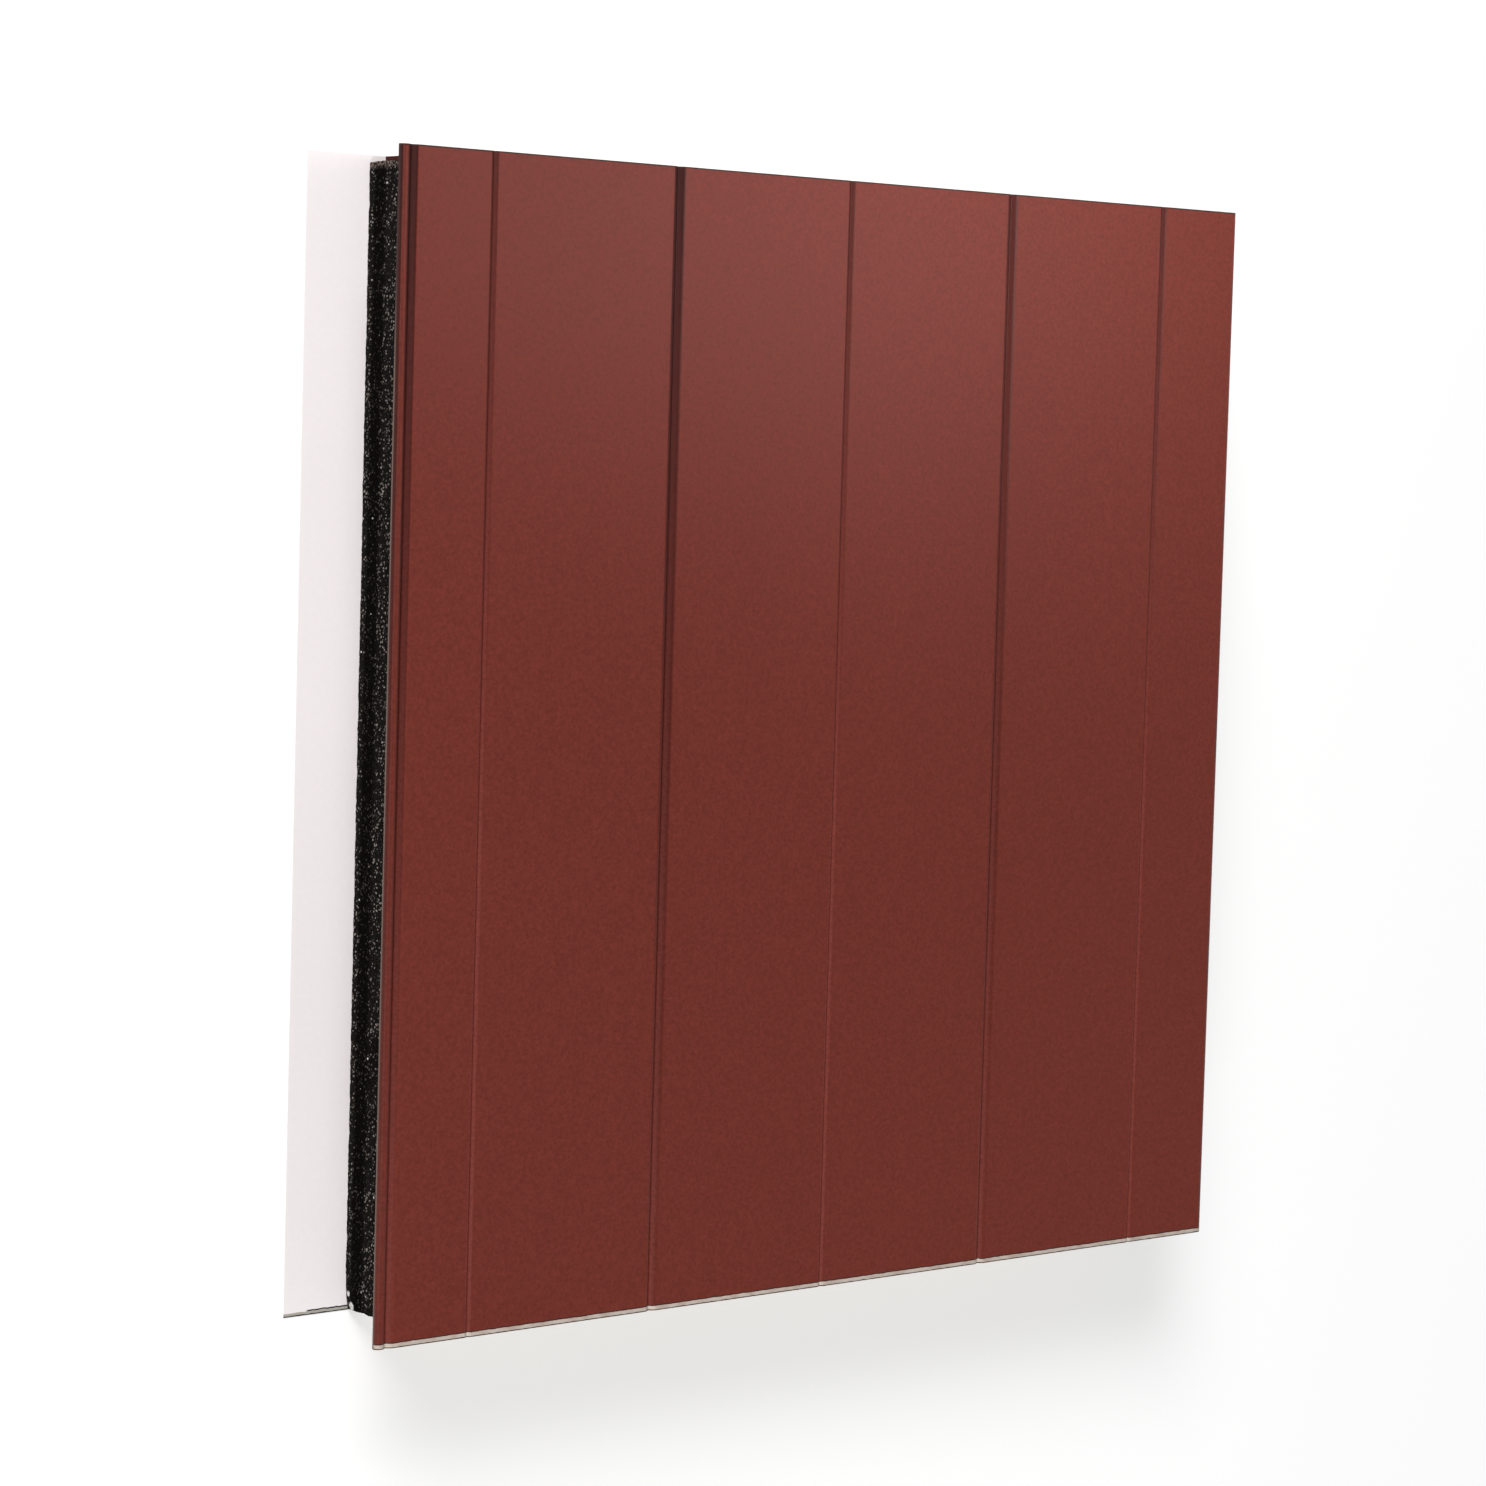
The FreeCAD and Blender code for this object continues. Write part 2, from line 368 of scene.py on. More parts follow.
@dataclass(frozen=True)
class RedCoat:
    """Oxide red coil coating on the outer sheet, with a fine grain and bare margins where it was cut.

    Painted shade deepens its tone down in the grooves and on the joint's return, most so towards the head end, and
    more so in the deep grooves than in the fine ones. Painted shade also darkens the rounded bead at the joint a
    little.
    """

    colour: Colour = rgb(106, 45, 36)
    painted_shade_tint: Colour = (1.0, 0.55, 0.50, 1.0)
    primer: Colour = rgb(190, 178, 168)
    worn_primer: Colour = rgb(172, 155, 143)
    bare_return: Colour = rgb(101, 81, 74)
    dark_edge_line: Colour = rgb(52, 30, 27)
    backing: Colour = rgb(146, 146, 140)
    roughness: float = 0.42
    roughness_drift: float = 0.05
    grain: Cloud = Cloud(330.0, 2.5, 0.62)
    grain_tone: Range = (0.80, 1.20)
    grain_depth: float = 0.028 * MM
    drift: Cloud = Cloud(3.2, squeeze=(1.0, 0.45, 1.0))
    drift_tone: Range = (0.975, 1.025)
    dust: Cloud = Cloud(1400.0)
    dust_depth: float = 0.004 * MM
    wear: Cloud = Cloud(60.0, 3.0)
    ragged: Cloud = Cloud(140.0)
    wobble: float = 0.25 * MM
    first_groove: float = 95.0 * MM
    pitch: float = 200.0 * MM
    fine_reach: float = 4.0 * MM
    deep_reach: float = 6.6 * MM
    deep_groove_shade: Range = (0.08, 0.80)
    deep_groove_shade_across: Range = (1.0, 0.74)
    fine_groove_shade: Range = (0.0, 0.54)
    fine_groove_shade_start: float = -80.0 * MM
    flank_reach: float = 3.0 * MM
    flank_tone: Range = (1.20, 0.88)
    flank_fade: Range = (0.3, -0.1)
    band_edge: Range = (1.15, 0.70)
    bead_shade: Range = (1.0, 0.74)
    bead_round: Range = (4.4 * MM, 2.6 * MM)
    joint_reach: Range = (20 * MM, 17 * MM)
    behind_bead: Range = (3.6 * MM, 4.6 * MM)
    behind_depth: Range = (-0.04 * MM, -0.5 * MM)
    below_depth: Range = (-0.7 * MM, -1.6 * MM)
    joint_return: float = 6.0 * MM
    return_margin: float = 2.0 * MM
    bare_edge: Range = (0.0, -0.4 * MM)
    bare_side: Range = (0.9 * MM, 0.75 * MM)
    bare_end: Range = (0.40, 0.30)
    back_depth: Range = (-0.2 * MM, -0.4 * MM)
    foot_margin: float = 4.2 * MM
    foot_edge: Range = (0.0, -0.35 * MM)
    foot_line: Stripe = (-0.4 * MM, 0.0, 0.4 * MM, 1.0 * MM)
    foot_dark_line: Range = (1.0 * MM, 0.7 * MM)
    head_dark_line: Range = (-1.4 * MM, -1.0 * MM)

    def groove_band(self, g: Graph, offset: Socket, kind: Socket) -> Socket:
        """Say where the grooves are.

        Args:
            g: The material's graph.
            offset: Distance across from the nearest groove's middle, less than 0 towards the joint.
            kind: 0 in a fine groove and 1 in a deep one.

        Returns:
            A socket that is 1 in a groove and 0 outside.
        """
        reach = g.span(kind, 0.0, 1.0, (self.fine_reach, self.deep_reach), False)
        return g.span(g.math("DIVIDE", g.math("ABSOLUTE", offset), reach), *self.band_edge)

    def even_flanks(self, g: Graph, offset: Socket, band: Socket) -> Socket:
        """Even out the light on a groove's two flanks towards the foot end.

        Args:
            g: The material's graph.
            offset: Distance across from the nearest groove's middle.
            band: Where the grooves are.

        Returns:
            What the tone is multiplied by.
        """
        flank = g.span(offset, -self.flank_reach, self.flank_reach, self.flank_tone, False)
        share = g.times(band, g.span(g.y, *self.flank_fade))
        return g.plus(1.0, g.times(share, g.minus(flank, 1.0)))

    def joint_shade(self, g: Graph, tone: Socket) -> Socket:
        """Deepen the tone behind the bead and on the joint's return with painted shade.

        Args:
            g: The material's graph.
            tone: How deep the painted shade goes in a deep groove.

        Returns:
            The share of painted shade that darkens the tone.
        """
        behind = g.times(g.fade(g.x, g.low.x, self.behind_bead), g.fade(g.z, g.high.z, self.behind_depth))
        below = g.fade(g.z, g.high.z, self.below_depth)
        return g.times(g.fade(g.x, g.low.x, self.joint_reach), g.most(behind, below), tone)

    def coat(self, g: Graph, grain: Socket) -> Socket:
        """The coating's colour, with painted shade in the grooves, on the bead and on the joint's return.

        Args:
            g: The material's graph.
            grain: The coating's grain, 0 to 1.

        Returns:
            The colour's socket.
        """
        shade = g.times(g.span(grain, 0.25, 0.75, self.grain_tone, False),
                        g.span(g.noise(self.drift), 0.3, 0.7, self.drift_tone))
        first = g.low.x + self.first_groove
        around = g.math("FLOORED_MODULO", g.plus(g.x, self.pitch / 2 - first), self.pitch)
        offset = g.minus(around, self.pitch / 2)
        turns = g.times(g.minus(g.x, first + self.pitch), math.tau / (2 * self.pitch))
        kind = g.span(g.math("COSINE", turns), -1.0, 1.0, smooth=False)
        band = self.groove_band(g, offset, kind)
        # Painted shade in the grooves grows towards the head end, more in the deep grooves than in the fine ones.
        deep = g.times(g.span(g.y, g.low.y, g.high.y, self.deep_groove_shade, False),
                       g.span(g.x, -self.pitch, self.pitch, self.deep_groove_shade_across, False))
        fine = g.span(g.y, self.fine_groove_shade_start, g.high.y, self.fine_groove_shade, False)
        groove = g.times(band, g.plus(g.times(deep, kind), g.times(fine, g.minus(1.0, kind))))
        # Painted shade behind the bead and on the joint's return, and a lighter painted shade on the rounded bead.
        joint = self.joint_shade(g, deep)
        bead = g.span(g.fade(g.x, g.low.x, self.bead_round), 0.0, 1.0, self.bead_shade, False)
        shade = g.times(shade, g.minus(1.0, groove), self.even_flanks(g, offset, band), bead, g.minus(1.0, joint))
        body = g.shaded(self.colour, shade)
        # The painted shade also tints the colour a deeper red.
        return g.blend(g.most(groove, joint), body, g.blend(1.0, body, self.painted_shade_tint, "MULTIPLY"))

    def cut_ends(self, g: Graph, coat: Socket) -> Socket:
        """Bare the sawn foot end: a margin of primer between two dark lines, and one line at the head end.

        Args:
            g: The material's graph.
            coat: The colour up to here.

        Returns:
            The colour's socket.
        """
        ragged = g.ragged_length(self.ragged, self.wobble)
        edge = g.low.y + self.foot_margin
        worn = g.blend(g.span(g.noise(self.wear), 0.35, 0.7), self.primer, self.worn_primer)
        body = g.blend(g.fade(ragged, edge, self.foot_edge, False), coat, worn)
        # Dark lines along the foot margin and at both cut ends.
        lines = g.most(g.stripe(ragged, edge, self.foot_line), g.fade(ragged, g.low.y, self.foot_dark_line, False),
                       g.fade(ragged, g.high.y, self.head_dark_line, False))
        return g.blend(lines, body, self.dark_edge_line)

    def bare_leg(self, g: Graph, coat: Socket) -> Socket:
        """Bare the lowest part of the joint's return, fading into the coating near the head end.

        Args:
            g: The material's graph.
            coat: The colour up to here.

        Returns:
            The colour's socket.
        """
        edge = g.high.z - self.joint_return + self.return_margin
        leg = g.times(g.fade(g.z, edge, self.bare_edge), g.fade(g.x, g.low.x, self.bare_side),
                      g.span(g.y, *self.bare_end))
        return g.blend(leg, coat, self.bare_return)

    def back(self, g: Graph, coat: Socket) -> Socket:
        """Give the side that is glued to the foam its grey backing coat.

        Args:
            g: The material's graph.
            coat: The colour up to here.

        Returns:
            The colour's socket.
        """
        face = g.tree.nodes.new("ShaderNodeNewGeometry")
        up = g.split("XYZ", face.outputs["Normal"])[2]
        inside = g.times(g.span(up, -0.5, -0.6, smooth=False), g.fade(g.z, g.high.z, self.back_depth))
        return g.blend(inside, coat, self.backing)

    def build(self, low: Vector, high: Vector) -> bpy.types.Material:
        """Make the material.

        Args:
            low: The sheet's lowest corner.
            high: The sheet's highest corner.

        Returns:
            The finished material.
        """
        g = Graph("red_coil_coating", low, high)
        grain = g.noise(self.grain)
        body = self.back(g, self.bare_leg(g, self.cut_ends(g, self.coat(g, grain))))
        relief = g.bump(grain, self.grain_depth, under=g.bump(g.noise(self.dust), self.dust_depth))
        gloss = g.uneven(grain, self.roughness, self.roughness_drift)
        g.set(Base_Color=body, Roughness=gloss, Normal=relief, Specular_IOR_Level=0.2)
        return g.material


@dataclass(frozen=True)
class WhiteCoat:
    """Off-white coil coating on the inner sheet, with a bare margin at the sawn foot end."""

    colour: Colour = rgb(240, 233, 233)
    primer: Colour = rgb(168, 164, 154)
    dark_edge_line: Colour = rgb(38, 26, 24)
    roughness: float = 0.38
    roughness_drift: float = 0.04
    peel: Cloud = Cloud(210.0)
    peel_tone: float = 0.015
    peel_depth: float = 0.03 * MM
    drift: Cloud = Cloud(2.6)
    drift_tone: Range = (0.985, 1.012)
    ragged: Cloud = Cloud(160.0)
    wobble: float = 0.3 * MM
    foot_margin: float = 3.4 * MM
    foot_edge: Range = (0.0, -0.3 * MM)
    foot_line: Stripe = (-0.3 * MM, 0.0, 0.9 * MM, 1.3 * MM)
    foot_dark_line: Range = (1.2 * MM, 0.9 * MM)
    line_start: Range = (22 * MM, 26 * MM)

    def build(self, low: Vector, high: Vector) -> bpy.types.Material:
        """Make the material.

        Args:
            low: The sheet's lowest corner.
            high: The sheet's highest corner.

        Returns:
            The finished material.
        """
        g = Graph("white_coil_coating", low, high)
        peel = g.noise(self.peel)
        shade = g.times(g.uneven(peel, 1.0, self.peel_tone), g.span(g.noise(self.drift), 0.3, 0.7, self.drift_tone))
        coat = g.shaded(self.colour, shade)
        ragged = g.ragged_length(self.ragged, self.wobble)
        edge = low.y + self.foot_margin
        body = g.blend(g.fade(ragged, edge, self.foot_edge, False), coat, self.primer)
        # The margin's upper line starts past the corner at the joint.
        upper = g.times(g.stripe(ragged, edge, self.foot_line), g.fade(g.x, low.x, self.line_start))
        # Dark lines along the foot margin and at the foot end's edge.
        lines = g.most(upper, g.fade(ragged, low.y, self.foot_dark_line, False))
        gloss = g.uneven(peel, self.roughness, self.roughness_drift)
        g.set(Base_Color=g.blend(lines, body, self.dark_edge_line), Roughness=gloss, Normal=g.bump(peel, self.peel_depth),
              Specular_IOR_Level=0.4)
        return g.material


@dataclass(frozen=True)
class RigidFoam:
    """Cream closed-cell foam of the core: fine cells, denser skins at the facings, sawn ends."""

    colour: Colour = rgb(234, 220, 178)
    dark: Colour = rgb(220, 202, 154)
    skin: Colour = rgb(196, 170, 118)
    pit: Colour = rgb(166, 138, 84)
    painted_end_shadow: Colour = rgb(66, 18, 14)
    fine_cells: float = 1100.0
    coarse_cells: float = 330.0
    skin_depth: Range = (3.2 * MM, 0.4 * MM)
    skin_share: Range = (0.0, 0.75)
    end_shadow_depth: Range = (1.4 * MM, 0.7 * MM)
    end_shadow_reach: Range = (-9 * MM, -7 * MM)
    rise: Place = (1.0, 1.0, 0.62)
    flow: Cloud = Cloud(13.0, 4.0, 0.55, (1.0, 1.0, 2.6))
    pits: Cloud = Cloud(95.0, 3.0, 0.6)
    saw_marks: Cloud = Cloud(1.0, squeeze=(420.0, 6.0, 22.0))

    def build(self, low: Vector, high: Vector) -> bpy.types.Material:
        """Make the material.

        Args:
            low: The core's lowest corner.
            high: The core's highest corner.

        Returns:
            The finished material.
        """
        g = Graph("rigid_foam_cells", low, high)
        # Cells are drawn out a little in the direction in which the foam rose.
        rising = g.stretched(self.rise)
        fine = g.cells(self.fine_cells, vector=rising).outputs["Distance"]
        coarse = g.cells(self.coarse_cells, "SMOOTH_F1", rising).outputs["Distance"]
        pits = g.span(g.noise(self.pits), 0.66, 0.74)
        tone = g.blend(g.span(g.noise(self.flow), 0.32, 0.68), self.colour, self.dark)
        tone = g.blend(g.times(g.span(fine, 0.15, 0.75), 0.30), tone, self.dark)
        near = g.math("MINIMUM", g.minus(g.z, low.z), g.minus(high.z, g.z))
        tone = g.blend(g.span(near, *self.skin_depth, self.skin_share), tone, self.skin)
        tone = g.blend(g.times(pits, 0.45), tone, self.pit)
        # Painted shadow: a dark red line on the joint side just past the seal's end at the head end.
        end = g.times(g.fade(g.x, low.x, self.end_shadow_depth), g.fade(g.y, high.y, self.end_shadow_reach))
        tone = g.blend(end, tone, self.painted_end_shadow)
        # Faint saw marks run up the two ends.
        height = g.plus(g.minus(g.times(coarse, 0.8), g.times(pits, 1.4)), g.times(g.noise(self.saw_marks), 0.35))
        relief = g.bump(height, 0.6 * MM, 0.7, g.bump(fine, 0.25 * MM, 0.8))
        g.set(Base_Color=tone, Roughness=0.86, Normal=relief, Specular_IOR_Level=0.3)
        return g.material


@dataclass(frozen=True)
class BlackFoam:
    """Open-cell black foam: dull walls, with painted glints of its cell windows as grey specks and bright spots
    here and there.
    """

    colour: Colour = (0.0016, 0.0015, 0.0013, 1.0)
    speck_glint_colour: Colour = rgb(146, 138, 131)
    glint: Colour = rgb(226, 224, 220)
    warm_glint: Colour = rgb(168, 142, 132)
    frayed_end: Colour = rgb(122, 106, 98)
    cell: float = 2.0 * MM
    glint_window: float = 3.4 * MM
    lower_zone: Range = (12 * MM, 6 * MM)
    upper_zone: Range = (22 * MM, 31 * MM)
    frayed_zone: Range = (-8 * MM, -2 * MM)
    patches: Cloud = Cloud(24.0, 3.0)
    fraying: Cloud = Cloud(420.0)
    walls: Cloud = Cloud(1500.0)
    whole: float = 0.16
    glint_spots: tuple[tuple[Place, float], ...] = (
        ((1.0 * MM, 4.5 * MM, 9 * MM), 4.6 * MM),
        ((1.0 * MM, 15 * MM, 5 * MM), 2.8 * MM),
    )

    def build(self, low: Vector, high: Vector) -> bpy.types.Material:
        """Make the material.

        Args:
            low: The strip's lowest corner.
            high: The strip's highest corner.

        Returns:
            The finished material.
        """
        g = Graph("open_cell_foam", low, high)
        fine = g.cells(1.0 / self.cell)
        shine = g.split("Color", fine.outputs["Color"])[0]
        coarse = g.cells(1.0 / self.glint_window)
        chance, strength, warmth = g.split("Color", coarse.outputs["Color"])
        # Painted glints: grey specks and bright spots crowd along the strip's lower edge and higher up, in patches,
        # and thin out between.
        lower = g.fade(g.z, low.z, self.lower_zone)
        patches = g.span(g.noise(self.patches), 0.34, 0.52, (0.45, 1.0))
        upper = g.times(g.fade(g.z, low.z, self.upper_zone), patches)
        torn = g.span(g.most(lower, upper), 0.0, 1.0, (self.whole, 1.0), False)
        speck_glint = g.times(g.math("POWER", shine, 5.0), g.span(fine.outputs["Distance"], 0.62, 0.30))
        speck_glint = g.times(g.plus(speck_glint, 0.025), torn)
        picked = g.math("GREATER_THAN", chance, g.span(torn, self.whole, 1.0, (0.992, 0.935), False))
        glint_window = g.times(picked, g.span(coarse.outputs["Distance"], 0.40, 0.16), g.math("POWER", strength, 1.6))
        tone = g.blend(speck_glint, self.colour, self.speck_glint_colour)
        tone = g.blend(glint_window, tone, g.blend(g.span(warmth, 0.6, 0.8), self.glint, self.warm_glint))
        frayed = g.times(g.fade(g.y, high.y, self.frayed_zone), g.span(g.noise(self.fraying), 0.42, 0.58))
        tone = g.blend(g.times(frayed, 0.75), tone, self.frayed_end)
        # Painted glints: two bright spots at the foot end's lower corner.
        for place, reach in self.glint_spots:
            tone = g.blend(g.span(g.gap(low + Vector(place)), reach, 0.6 * reach, (0.0, 0.85)), tone, self.glint)
        relief = g.bump(fine.outputs["Distance"], 1.0 * MM, 0.9, g.bump(g.noise(self.walls), 0.3 * MM, 0.6))
        g.set(Base_Color=tone, Roughness=g.span(glint_window, 0.0, 1.0, (0.85, 0.4), False), Normal=relief,
              Specular_IOR_Level=0.01)
        return g.material


# ---------------------------------------------------------------------------------------------------------
# Shaping


def deselect_all() -> None:
    """Drop every object from the selection."""
    bpy.ops.object.select_all(action="DESELECT")


def start_piece(name: str) -> bpy.types.Object:
    """Name the primitive that was just added."""
    piece = bpy.context.object
    piece.name = name
    piece.data.name = name
    return piece


def choose_vertices(piece: bpy.types.Object, test: Callable[[Vector], bool]) -> None:
    """Select, in edit mode, the vertices whose place passes a test, with the edges and faces between them.

    Args:
        piece: The piece in edit mode.
        test: Says whether a place is wanted.
    """
    bpy.ops.mesh.select_mode(type="VERT")
    bpy.ops.mesh.select_all(action="DESELECT")
    mesh = bmesh.from_edit_mesh(piece.data)
    for vertex in mesh.verts:
        vertex.select = test(piece.matrix_world @ vertex.co)
    mesh.select_flush_mode()
    bmesh.update_edit_mesh(piece.data)


def settle(piece: bpy.types.Object) -> None:
    """Put the piece's place into its mesh, so that the object sits at the origin."""
    deselect_all()
    piece.select_set(True)
    bpy.context.view_layer.objects.active = piece
    bpy.ops.object.transform_apply(location=True, rotation=True, scale=True)


def finish_piece(piece: bpy.types.Object, material: bpy.types.Material, node: str) -> bpy.types.Object:
    """Dress a piece, seat it on the panel and let it stand for its solid.

    Args:
        piece: The finished mesh.
        material: Its material.
        node: The solid that it stands for.

    Returns:
        The same piece.
    """
    piece.data.materials.clear()
    piece.data.materials.append(material)
    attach(piece, "root")
    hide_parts(node)
    LOG.info("%s: %d faces", piece.name, len(piece.data.polygons))
    return piece


@dataclass(frozen=True)
class Groove:
    """A rolled groove: two shoulders, two straight walls and a round root."""

    middle: float
    depth: float
    shoulder: float
    root: float
    slope: float
    steps: int = 6

    @property
    def wall(self) -> float:
        """Length of one straight wall."""
        angle = math.radians(self.slope)
        return (self.depth - (self.shoulder + self.root) * (1 - math.cos(angle))) / math.sin(angle)

    @property
    def half_mouth(self) -> float:
        """From the groove's middle to either lip."""
        angle = math.radians(self.slope)
        return (self.shoulder + self.root) * math.sin(angle) + self.wall * math.cos(angle)


class SheetBender:
    """Bends one sheet along the panel, run by run and bend by bend, from one edge of its section."""

    merge_distance: float = 0.001 * MM
    smooth_angle: float = math.radians(30)

    def __init__(self, name: str, start: Range, run: Range, length: float) -> None:
        """Lay the first straight run.

        Args:
            name: The piece's name.
            start: X and Z of the section's first point.
            run: How far the first run goes in X and Z.
            length: The sheet's length along Y.
        """
        deselect_all()
        bpy.ops.mesh.primitive_plane_add(size=length, location=(start[0] + length / 2, 0.0, start[1]))
        self.piece = start_piece(name)
        self.x, self.z = start
        bpy.ops.object.mode_set(mode="EDIT")
        choose_vertices(self.piece, lambda place: place.x > start[0] + length / 2)
        bpy.ops.transform.translate(value=(run[0] - length, 0.0, run[1]))
        self.x += run[0]
        self.z += run[1]

    def run(self, dx: float, dz: float = 0.0) -> None:
        """Carry the sheet's free edge straight on."""
        bpy.ops.mesh.extrude_region_move(TRANSFORM_OT_translate={"value": (dx, 0.0, dz)})
        self.x += dx
        self.z += dz

    def run_to(self, x: float) -> None:
        """Carry the sheet's free edge level to a place across the panel."""
        self.run(x - self.x)

    def bend(self, centre: Range, degrees: float, steps: int) -> None:
        """Turn the free edge about a line along the panel.

        Args:
            centre: X and Z of the bend's centre.
            degrees: The turn, positive over the top from -X to +X.
            steps: How many flats make the bend.
        """
        angle = math.radians(degrees)
        bpy.ops.mesh.spin(steps=steps, angle=-angle, center=(centre[0], 0.0, centre[1]), axis=(0.0, 1.0, 0.0))
        dx, dz = self.x - centre[0], self.z - centre[1]
        self.x = centre[0] + dx * math.cos(angle) + dz * math.sin(angle)
        self.z = centre[1] - dx * math.sin(angle) + dz * math.cos(angle)

    def groove(self, groove: Groove) -> None:
        """Roll one groove from a level run at its left lip to its right lip."""
        angle = math.radians(groove.slope)
        self.run_to(groove.middle - groove.half_mouth)
        top = self.z
        self.bend((self.x, top - groove.shoulder), groove.slope, groove.steps)
        self.run(groove.wall * math.cos(angle), -groove.wall * math.sin(angle))
        self.bend((groove.middle, top - groove.depth + groove.root), -2 * groove.slope, groove.steps)
        self.run(groove.wall * math.cos(angle), groove.wall * math.sin(angle))
        self.bend((groove.middle + groove.half_mouth, top - groove.shoulder), groove.slope, groove.steps)

    def close(self, thickness: float, faces_up: bool) -> bpy.types.Object:
        """Merge doubles, give the sheet its thickness on the inner side and smooth its bends.

        Args:
            thickness: The sheet's thickness.
            faces_up: The sheet's outer side is its upper one.

        Returns:
            The finished sheet.
        """
        bpy.ops.mesh.select_all(action="SELECT")
        bpy.ops.mesh.remove_doubles(threshold=self.merge_distance)
        bpy.ops.mesh.normals_make_consistent(inside=False)
        bpy.ops.object.mode_set(mode="OBJECT")
        settle(self.piece)
        widest = max(self.piece.data.polygons, key=lambda face: face.area)
        if (widest.normal.z > 0) != faces_up:
            bpy.ops.object.mode_set(mode="EDIT")
            bpy.ops.mesh.select_all(action="SELECT")
            bpy.ops.mesh.flip_normals()
            bpy.ops.object.mode_set(mode="OBJECT")
        solid = self.piece.modifiers.new("thickness", "SOLIDIFY")
        solid.thickness = thickness
        solid.offset = -1.0
        solid.use_even_offset = True
        solid.use_quality_normals = True
        bpy.ops.object.modifier_apply(modifier=solid.name)
        bpy.ops.object.shade_smooth_by_angle(angle=self.smooth_angle)
        weighted = self.piece.modifiers.new("flats", "WEIGHTED_NORMAL")
        weighted.mode = "FACE_AREA"
        weighted.weight = 100
        weighted.keep_sharp = True
        bpy.ops.object.modifier_apply(modifier=weighted.name)
        return self.piece


# ---------------------------------------------------------------------------------------------------------
# Sub-assemblies


@dataclass
class OuterSheet:
    """Red grooved steel sheet, with a bead and a return at the joint and a return at the closed edge."""

    thickness: float = 0.6 * MM
    joint_bend: float = 4.0 * MM
    joint_return: float = 6.0 * MM
    closed_bend: float = 8.0 * MM
    bead: float = 11.0 * MM
    first_groove: float = 95.0 * MM
    pitch: float = 200.0 * MM
    count: int = 5
    joint_steps: int = 10
    closed_steps: int = 12
    finish: RedCoat = field(default_factory=RedCoat)

    def grooves(self, left: float) -> list[Groove]:
        """The grooves in order from the joint: the bead's, then fine and deep ones in turn."""
        rolled = [Groove(left + self.bead, *Rolled.DEEP.value)]
        for number in range(self.count):
            section = Rolled.DEEP if number % 2 else Rolled.FINE
            rolled.append(Groove(left + self.first_groove + number * self.pitch, *section.value))
        return rolled

    def build(self) -> bpy.types.Object:
        """Bend the sheet inside its solid's box and dress it."""
        low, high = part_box("outer_facing")
        sheet = SheetBender("outer_sheet", (low.x, high.z - self.joint_return),
                            (0.0, self.joint_return - self.joint_bend), high.y - low.y)
        sheet.bend((low.x + self.joint_bend, high.z - self.joint_bend), 90.0, self.joint_steps)
        for groove in self.grooves(low.x):
            sheet.groove(groove)
        sheet.run_to(high.x - self.closed_bend)
        sheet.bend((high.x - self.closed_bend, high.z - self.closed_bend), 90.0, self.closed_steps)
        sheet.run(0.0, low.z - sheet.z)
        piece = sheet.close(self.thickness, faces_up=True)
        return finish_piece(piece, self.finish.build(low, high), "outer_facing")


@dataclass
class InnerSheet:
    """White steel sheet that the panel lies on, folded up at the closed edge."""

    thickness: float = 0.5 * MM
    bend: float = 3.0 * MM
    steps: int = 8
    finish: WhiteCoat = field(default_factory=WhiteCoat)

    def build(self) -> bpy.types.Object:
        """Bend the sheet inside its solid's box and dress it."""
        low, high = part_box("inner_facing")
        sheet = SheetBender("inner_sheet", (low.x, low.z), (high.x - self.bend - low.x, 0.0), high.y - low.y)
        sheet.bend((high.x - self.bend, low.z + self.bend), -90.0, self.steps)
        sheet.run(0.0, high.z - sheet.z)
        piece = sheet.close(self.thickness, faces_up=False)
        return finish_piece(piece, self.finish.build(low, high), "inner_facing")


